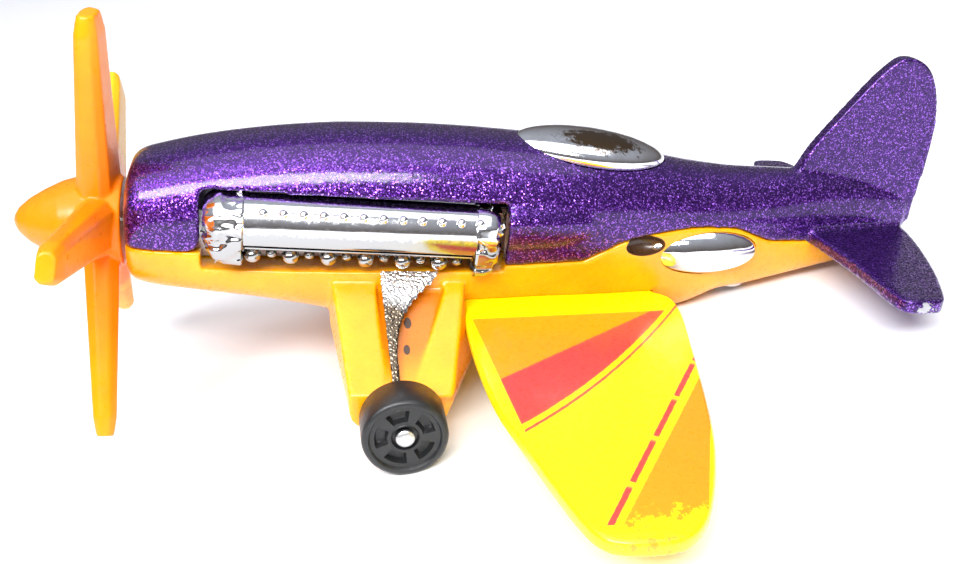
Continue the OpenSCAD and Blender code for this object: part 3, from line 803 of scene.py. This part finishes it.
def side_openings():
    """Cutters for both scoops and for the intake slots ahead of them."""
    cuts = [bubble(SCOOP_MID, SCOOP_HALF, SEAM, side=side) for side in (LEFT, RIGHT)]
    return cuts + [bubble(INTAKE_MID, INTAKE_HALF, 0, side=side) for side in (LEFT, RIGHT)]


def shaft_passage():
    """The hole in the nose for the propeller shaft."""
    passage = rod("passage", PASSAGE_R, AHEAD_X, NOSE_X + 2.5)
    return moved(passage, Matrix.Translation((0, 0, SHAFT_Z)))


def shell_casting():
    """Upper fuselage with fin and tailplane, hollow, with its side bays and openings."""
    shell = fuselage_solid()
    combine(shell, [bubble(BLISTER_MID, BLISTER_HALF, 0, side=side) for side in (LEFT, RIGHT)], "UNION")
    combine(shell, [above_parting(SEAM)], "INTERSECT")
    combine(shell, [side_bay(side) for side in (LEFT, RIGHT)], "DIFFERENCE")
    surfaces = [prism("fin", rounded(FIN), -FIN_T / 2, FIN_T / 2, "xz")]
    for side in (LEFT, RIGHT):
        outline = rounded([(x, side * -y) for x, y in STAB])
        surfaces.append(prism("stab", outline, STAB_Z - STAB_T / 2, STAB_Z + STAB_T / 2))
    combine(shell, surfaces, "UNION")
    cast(shell, *CASTING)
    cuts = side_openings()
    cuts.append(bubble(CANOPY_MID, CANOPY_HALF, SEAM, CANOPY_LEAN))
    cuts.append(inner_room())
    cuts.append(shaft_passage())
    return combine(shell, cuts, "DIFFERENCE")


def leg(side):
    """A landing-gear leg with the groove for its strut."""
    points = [corner for low, high in LEG_BLOCKS for corner in block(low, high, side)]
    front, back = LEG_TIP_X
    for x in (front + LEG_TIP_R, back - LEG_TIP_R):
        for a in np.linspace(0, 2 * math.pi, 24, endpoint=False):
            for y in LEG_TIP_Y:
                points.append((x + LEG_TIP_R * math.cos(a), side * y, LEG_TIP_Z + LEG_TIP_R * math.sin(a)))
    limb = hull("leg", points)
    groove = hull("groove", [corner for low, high in GROOVE_BLOCKS for corner in block(low, high, side)])
    notch = hull("notch", block(*NOTCH, side))
    return combine(limb, [groove, notch], "DIFFERENCE")


def rivet_recess(x):
    """Cutter for a rivet and its sunk head in the belly."""
    low = float(BOTTOM_AT(x))
    head_top = low + RIVET_HEAD_DEPTH
    profile = [(0, low - 1), (RIVET_HEAD_R, low - 1), (RIVET_HEAD_R, head_top), (RIVET_R, head_top),
               (RIVET_R, low + 6), (0, low + 6)]
    upright = Matrix(((0, 0, 1, 0), (0, 1, 0, 0), (1, 0, 0, 0), (0, 0, 0, 1)))
    return moved(lathe("recess", profile, 32), Matrix.Translation((x, 0, 0)) @ upright)


def belly_moulding():
    """Lower fuselage with both legs, hollow, with its slots, openings and holes."""
    base = fuselage_solid()
    combine(base, [below_parting()], "INTERSECT")
    combine(base, [leg(LEFT), leg(RIGHT)], "UNION")
    tail = prism("tail", rectangle((30, -2), (BEHIND_X, 2)), STAB_Z - STAB_T / 2 - SEAM, 3)
    combine(base, [tail], "DIFFERENCE")
    cast(base, *CASTING)
    # A deck stays under the bays
    area = rectangle((BAY_FRONT - 1, -9), (BAY_BACK + 1, 9))
    deck = prism("deck", area, PART_BAY_Z - 0.9, PART_BAY_Z - 0.05)
    cuts = side_openings()
    cuts.append(combine(inner_room(), [deck], "DIFFERENCE"))
    cuts.append(wing_blank(SEAM))
    bore = rod("bore", AXLE_R, -18, 18, axis_y=True)
    cuts.append(moved(bore, Matrix.Translation((AXLE_X, 0, AXLE_Z))))
    cuts.append(shaft_passage())
    cuts += [rivet_recess(x) for x in RIVET_X]
    return combine(base, cuts, "DIFFERENCE")


def wing_blank(grow=0.0):
    """Both halves of the wing in one plate, grown up and down where it is a cutter."""
    outline = WING[1:-1]
    full = outline + [(x, -y) for x, y in reversed(outline)]
    return prism("wing", rounded(full), WING_TOP - WING_T - grow, WING_TOP + grow)


# ---------------------------------------------------------------- plated pieces

def canopy_bubble():
    """The canopy's dome, cut off flat inside the shell."""
    dome = bubble(CANOPY_MID, CANOPY_HALF, -CANOPY_PLAY, CANOPY_LEAN, steps=(96, 64))
    low = prism("low", rectangle((0, -6), (20, 6)), 0, CANOPY_FLOOR_Z)
    return combine(dome, [low], "DIFFERENCE")


def bank_bar(section, start, end):
    """A bar with an [outward, up] section along the bank, on the left side, in the bank's own frame."""
    return loft("bar", [[(x, -out, up) for out, up in section] for x in (start, end)])


def rocker_cover():
    """Engine bank on the left side: rocker cover, keel, lip, wrinkled end caps, bolts and stubs."""
    half = BANK_LEN / 2
    parts = [bevelled(bank_bar(rounded(COVER_SECTION), -half, half), 0.12)]
    parts.append(bank_bar(rounded(KEEL_SECTION, 1), -half + 0.2, half - 0.2))
    parts.append(bank_bar(rounded(LIP_SECTION, 1), -half + 0.4, half - 0.4))
    cap = rounded(CAP_SECTION, 1)
    parts.append(end_cap(cap, -half + 0.2, -half - CAP_FRONT + 0.05, 3))
    parts.append(end_cap(cap, half - 0.1, half + CAP_BACK - 0.15, 8))
    for i in range(BOLTS):
        bolt = bubble((BOLT_FIRST_X + i * BOLT_STEP, 0, 0), (BOLT_R, BOLT_R, BOLT_R), 0, steps=(24, 16))
        parts.append(moved(bolt, Matrix.Translation(BOLT_ROW)))
    for i in range(STUBS):
        first = -half + 1 + i * (BANK_LEN - 4) / (STUBS - 1)
        for (x, y, z), half_size, steps in STUB_PAIR:
            parts.append(bubble((first + x, y, z), half_size, 0, steps=steps))
    place = Matrix.Translation((BANK_MID.x, -BANK_MID.y, BANK_MID.z)) @ Matrix.Rotation(BANK_SLOPE, 4, "Y")
    return moved(joined("bank", parts), place)


def end_cap(section, inner, outer, seed):
    """A short casting with a wrinkled face that draws in towards its outer end, from inner to outer."""
    stops = []
    for t, wide, up, down in CAP_TAPER:
        x = inner + (outer - inner) * t
        stops.append([(x, -out * wide, rise * (up if rise > 0 else down)) for out, rise in section])
    cap = loft("cap", stops)
    cast(cap, 0.12, 6)
    for vertex in cap.data.vertices:
        p = vertex.co
        rough = noise.noise(Vector((p.x * 0.6, p.y * 0.5, p.z * 1.1 + seed))) \
            + 0.35 * noise.noise(Vector((p.x * 1.1 + seed, p.y * 1.1, p.z * 2.2)))
        vertex.co = p + vertex.normal * WRINKLE * max(-1.0, min(0.15, rough))
    return cap


def scoop_bulb():
    """Side scoop on the left: a polished bulb, cut off flat inside the body."""
    bulb = bubble(SCOOP_MID, SCOOP_HALF, -SCOOP_PLAY, side=LEFT, steps=(96, 64))
    inner = prism("inner", rectangle((10, SCOOP_INNER_Y), (30, 0)), -5, 3)
    return combine(bulb, [inner], "DIFFERENCE")


def strut_plate():
    """Left gear strut: a plate that narrows quickly from the bank to a slim tip, with a hammered face."""
    rings = []
    for t in np.linspace(0, 1, 14):
        front, y, z = (start + run * t for start, run in zip(STRUT_START, STRUT_RUN))
        width = STRUT_TIP_W + STRUT_SPREAD * (1 - t) ** STRUT_CURVE
        back = front + width
        section = [(front, -STRUT_HALF), (front, STRUT_EDGE), (front + STRUT_BEVEL, STRUT_HALF),
                   (back - STRUT_BEVEL, STRUT_HALF), (back, STRUT_EDGE), (back, -STRUT_HALF)]
        # Lift is along the plate's normal
        rings.append([(x, y + 0.63 * lift, z + 0.78 * lift) for x, lift in section])
    return cast(loft("plate", rings), 0.1, 2)


# ---------------------------------------------------------------- propeller and wheels

def blade_rings(bend):
    """Sections of one blade along +Z: a thick slab with bevelled edges that narrows to a blunt tip."""
    rings = []
    for t in (0, 0.15, 0.3, 0.45, 0.6, 0.75, 0.9, 0.96, 0.985, 1):
        radius = BLADE_START + t * (PROP_R - SEAM - BLADE_START)
        round_off = 1 - 1.7 * max(0, t - 0.93) ** 0.75
        half, thick = ((root - loss * t) * round_off for root, loss in (BLADE_CHORD, BLADE_THICK))
        centre = BLADE_X + (bend - 0.1) * t
        ring = []
        for a, b in BLADE_SECTION:
            u, v = a * half, b * thick
            ring.append((centre + u * math.sin(BLADE_PITCH) - v * math.cos(BLADE_PITCH),
                         u * math.cos(BLADE_PITCH) + v * math.sin(BLADE_PITCH), radius))
        rings.append(ring)
    return rings


def propeller_moulding():
    """Spinner, hub and five blades in one, turned about the shaft."""
    prop = lathe("hub", [(radius, HUB_BACK - ahead) for radius, ahead in SPINNER], 96)
    for i, bend in enumerate(BLADE_BEND):
        blade = loft("blade", blade_rings(bend))
        moved(blade, Matrix.Rotation(PROP_TURN + i * 2 * math.pi / len(BLADE_BEND), 4, "X"))
        combine(prop, [blade], "UNION")
    cast(prop, 0.15, 4)
    combine(prop, [rod("bore", SHAFT_BORE_R, -36, HUB_BACK + 1)], "DIFFERENCE")
    return moved(prop, Matrix.Translation((0, 0, SHAFT_Z)))


def wheel_solid(side):
    """A wheel with a bevelled rim and kidney recesses in its outer face, turned about Y."""
    outer = WHEEL_R - 0.01
    profile = [(WHEEL_BORE_R, 3.5), (3.2, 3.5), (3.4, 3.44), (outer, 3.28), (outer, 0.42), (3.44, 0.22),
               (3.28, 0.08), (3.1, 0.02), (2.95, 0.05), (2.88, 0.14), (2.8, 0.3)]
    profile += [(r, FACE_DEPTH) for r in np.arange(2.7, 1.15, -0.08)]
    profile += [(1.12, 0.3), (1.08, 0.2), (1.04, 0.3), (1.02, 0.6), (WHEEL_BORE_R, 0.6)]
    wheel = lathe("wheel", profile, 180, axis_y=True)
    for vertex in wheel.data.vertices:
        p = vertex.co
        r = math.hypot(p.x, p.z)
        if abs(p.y - FACE_DEPTH) < 0.01 and 1.1 < r < 2.75:
            phase = (math.atan2(p.z, p.x) * RECESSES / (2 * math.pi)) % 1
            across = min(1.0, max(0.0, (0.33 - abs(phase - 0.5)) * r * 8))
            radial = min(1.0, max(0.0, (0.5 - abs(r - RECESS_R)) * 7))
            p.y += RECESS_DEPTH * min(across, radial)
    rework(wheel, close_bore)
    place = Matrix.Translation((AXLE_X, side * TRACK_HALF, AXLE_Z)) @ Matrix.Diagonal((1, -side, 1, 1))
    return moved(wheel, place)


def close_bore(bm):
    """Joins the two open rims of a wheel's profile into the wall of its bore."""
    merge_doubles(bm)
    rims = [edge for edge in bm.edges if edge.is_boundary]
    bmesh.ops.bridge_loops(bm, edges=rims)


def axle_wire():
    """The wheels' axle, with a domed head at each end."""
    end = TRACK_HALF
    half = [(0, end + 0.1), (0.35, end + 0.08), (0.62, end + 0.02), (AXLE_HEAD_R, end - 0.12),
            (AXLE_HEAD_R, end - 0.4), (AXLE_R, end - 0.4)]
    profile = [(r, -y) for r, y in half] + [(r, y) for r, y in reversed(half)]
    return moved(lathe("axle", profile, 48, axis_y=True), Matrix.Translation((AXLE_X, 0, AXLE_Z)))


# ---------------------------------------------------------------- making the object

def build_pieces():
    """Makes every visible piece, and gives the inner CAD nodes their materials."""
    purple = purple_enamel()
    yellow = yellow_plastic("yellow_plastic", (0.93, 0.4, 0.0), (0.93, 0.34, 0.0))
    # Painted shade in the grooves of the legs
    retinted(yellow, groove_shade, (0.62, 0.17, 0.0, 1))
    # Two dark marks beside each strut, and painted shade in the intake slots
    retinted(yellow, dark_marks_and_intake_shade, (0.06, 0.025, 0.01, 1))
    bright = chrome("plated_bright", 0.06, 0.1)
    canopy = retinted(chrome("plated_canopy", 0.08, 0.1), canopy_brown_patch, (0.16, 0.1, 0.05, 1))
    # Painted shade on the lower face of the rocker covers
    cap = retinted(chrome("plated_cover", 0.12, 0.06), cover_shade, (0.42, 0.42, 0.42, 1))
    # Painted shade on the lower stretch of the gear struts
    hammered = retinted(chrome("plated_hammered", 0.22, 0.08, 0.35), strut_shade, (0.14, 0.11, 0.08, 1))
    orange, black = orange_plastic(), black_plastic()
    steel = bright_steel("steel_wire", (0.62, 0.62, 0.63))
    inner = bright_steel("plated_inner", (0.75, 0.76, 0.78))

    finish_piece(shell_casting(), "shell_casting", purple, "airframe", ["body_shell"], 50)
    finish_piece(belly_moulding(), "belly_moulding", yellow, "airframe", ["base"], 50)
    wing = bevelled(wing_blank(), 0.42, 4, 40)
    finish_piece(wing, "wing_plate", wing_plastic(), "airframe", ["wing"], 50)
    finish_piece(canopy_bubble(), "canopy_dome", canopy, "airframe", ["canopy"], 40)
    mirror = Matrix.Diagonal((1, -1, 1, 1))
    for make, name, node, material in ((rocker_cover, "rocker_cover", "engine_bank", cap),
                                       (scoop_bulb, "scoop_bulb", "air_scoop", bright),
                                       (strut_plate, "strut_plate", "gear_strut", hammered)):
        first = make()
        second = moved(copy_of(first, name), mirror)
        for obj, side in ((first, "left"), (second, "right")):
            finish_piece(obj, f"{name}_{side}", material, "airframe",
                         [f"{node}_{side}"], 40)
    finish_piece(propeller_moulding(), "propeller_moulding", orange, "propeller",
                 ["propeller"], 60)
    for side, sign in SIDES.items():
        finish_piece(wheel_solid(sign), f"rolling_wheel_{side}", black, f"{side}_wheel",
                     [f"wheel_{side}"], 35)
    finish_piece(axle_wire(), "axle_wire", steel, "airframe", ["axle"], 40)
    # The small inner nodes keep their CAD shape
    for node, material in (("propeller_shaft", steel), ("insert_carrier", inner),
                           ("rivet_front", steel), ("rivet_rear", steel)):
        obj = frame["nodes"][node]
        obj.data.materials.clear()
        obj.data.materials.append(material)


# ---------------------------------------------------------------- floor, light and camera

def floor():
    """A pale, faintly grained floor that isn't part of the object."""
    a = FLOOR_HALF
    mesh = bpy.data.meshes.new("floor")
    mesh.from_pydata([(-a, -a, 0), (a, -a, 0), (a, a, 0), (-a, a, 0)], [], [(0, 1, 2, 3)])
    plane = placed("floor", mesh)
    material = bpy.data.materials.new("floor_white")
    material.use_nodes = True
    tree = material.node_tree
    shader = tree.nodes["Principled BSDF"]
    place = put(tree, "ShaderNodeTexCoord").outputs["Object"]
    grain = texture_noise(tree, place, 900.0, 3.0)
    color = mix(tree, grain, (0.86, 0.87, 0.9, 1), (0.9, 0.9, 0.92, 1))
    feed(shader, "Base Color", color)
    shader.inputs["Roughness"].default_value = 0.8
    mesh.materials.append(material)


def softbox(name, place, aim, size, power):
    """A rectangular area light that faces a point."""
    light = bpy.data.lights.new(name, "AREA")
    light.shape = "RECTANGLE"
    light.size, light.size_y = size
    light.energy = power
    obj = placed(name, light)
    obj.location = place
    obj.rotation_euler = (Vector(aim) - Vector(place)).to_track_quat("-Z", "Y").to_euler()


def studio():
    """A dim room that brightens upward, a narrow key light on the camera's side, a broad one above."""
    world = bpy.data.worlds.new("studio")
    bpy.context.scene.world = world
    world.use_nodes = True
    tree = world.node_tree
    back = tree.nodes["Background"]
    _, _, height = axes(tree, put(tree, "ShaderNodeTexCoord").outputs["Generated"])
    tree.links.new(mix(tree, spread(tree, height, 0.05, 0.75), ROOM_LOW, ROOM_HIGH), back.inputs["Color"])
    for light in SOFTBOXES:
        softbox(*light)
    bpy.context.scene.view_settings.view_transform = "Standard"


def camera():
    """The photograph's view."""
    data = bpy.data.cameras.new("camera")
    data.lens, data.sensor_width = CAMERA_LENS, CAMERA_SENSOR
    data.clip_start, data.clip_end = 0.005, 20.0
    obj = placed("camera", data)
    look = Matrix((CAMERA_RIGHT, -CAMERA_DOWN, CAMERA_RIGHT.cross(-CAMERA_DOWN))).transposed().to_4x4()
    obj.matrix_world = Matrix.Translation(FUSELAGE @ CAMERA_PLACE) @ ATTITUDE @ look
    bpy.context.scene.camera = obj


build_pieces()
floor()
studio()
camera()
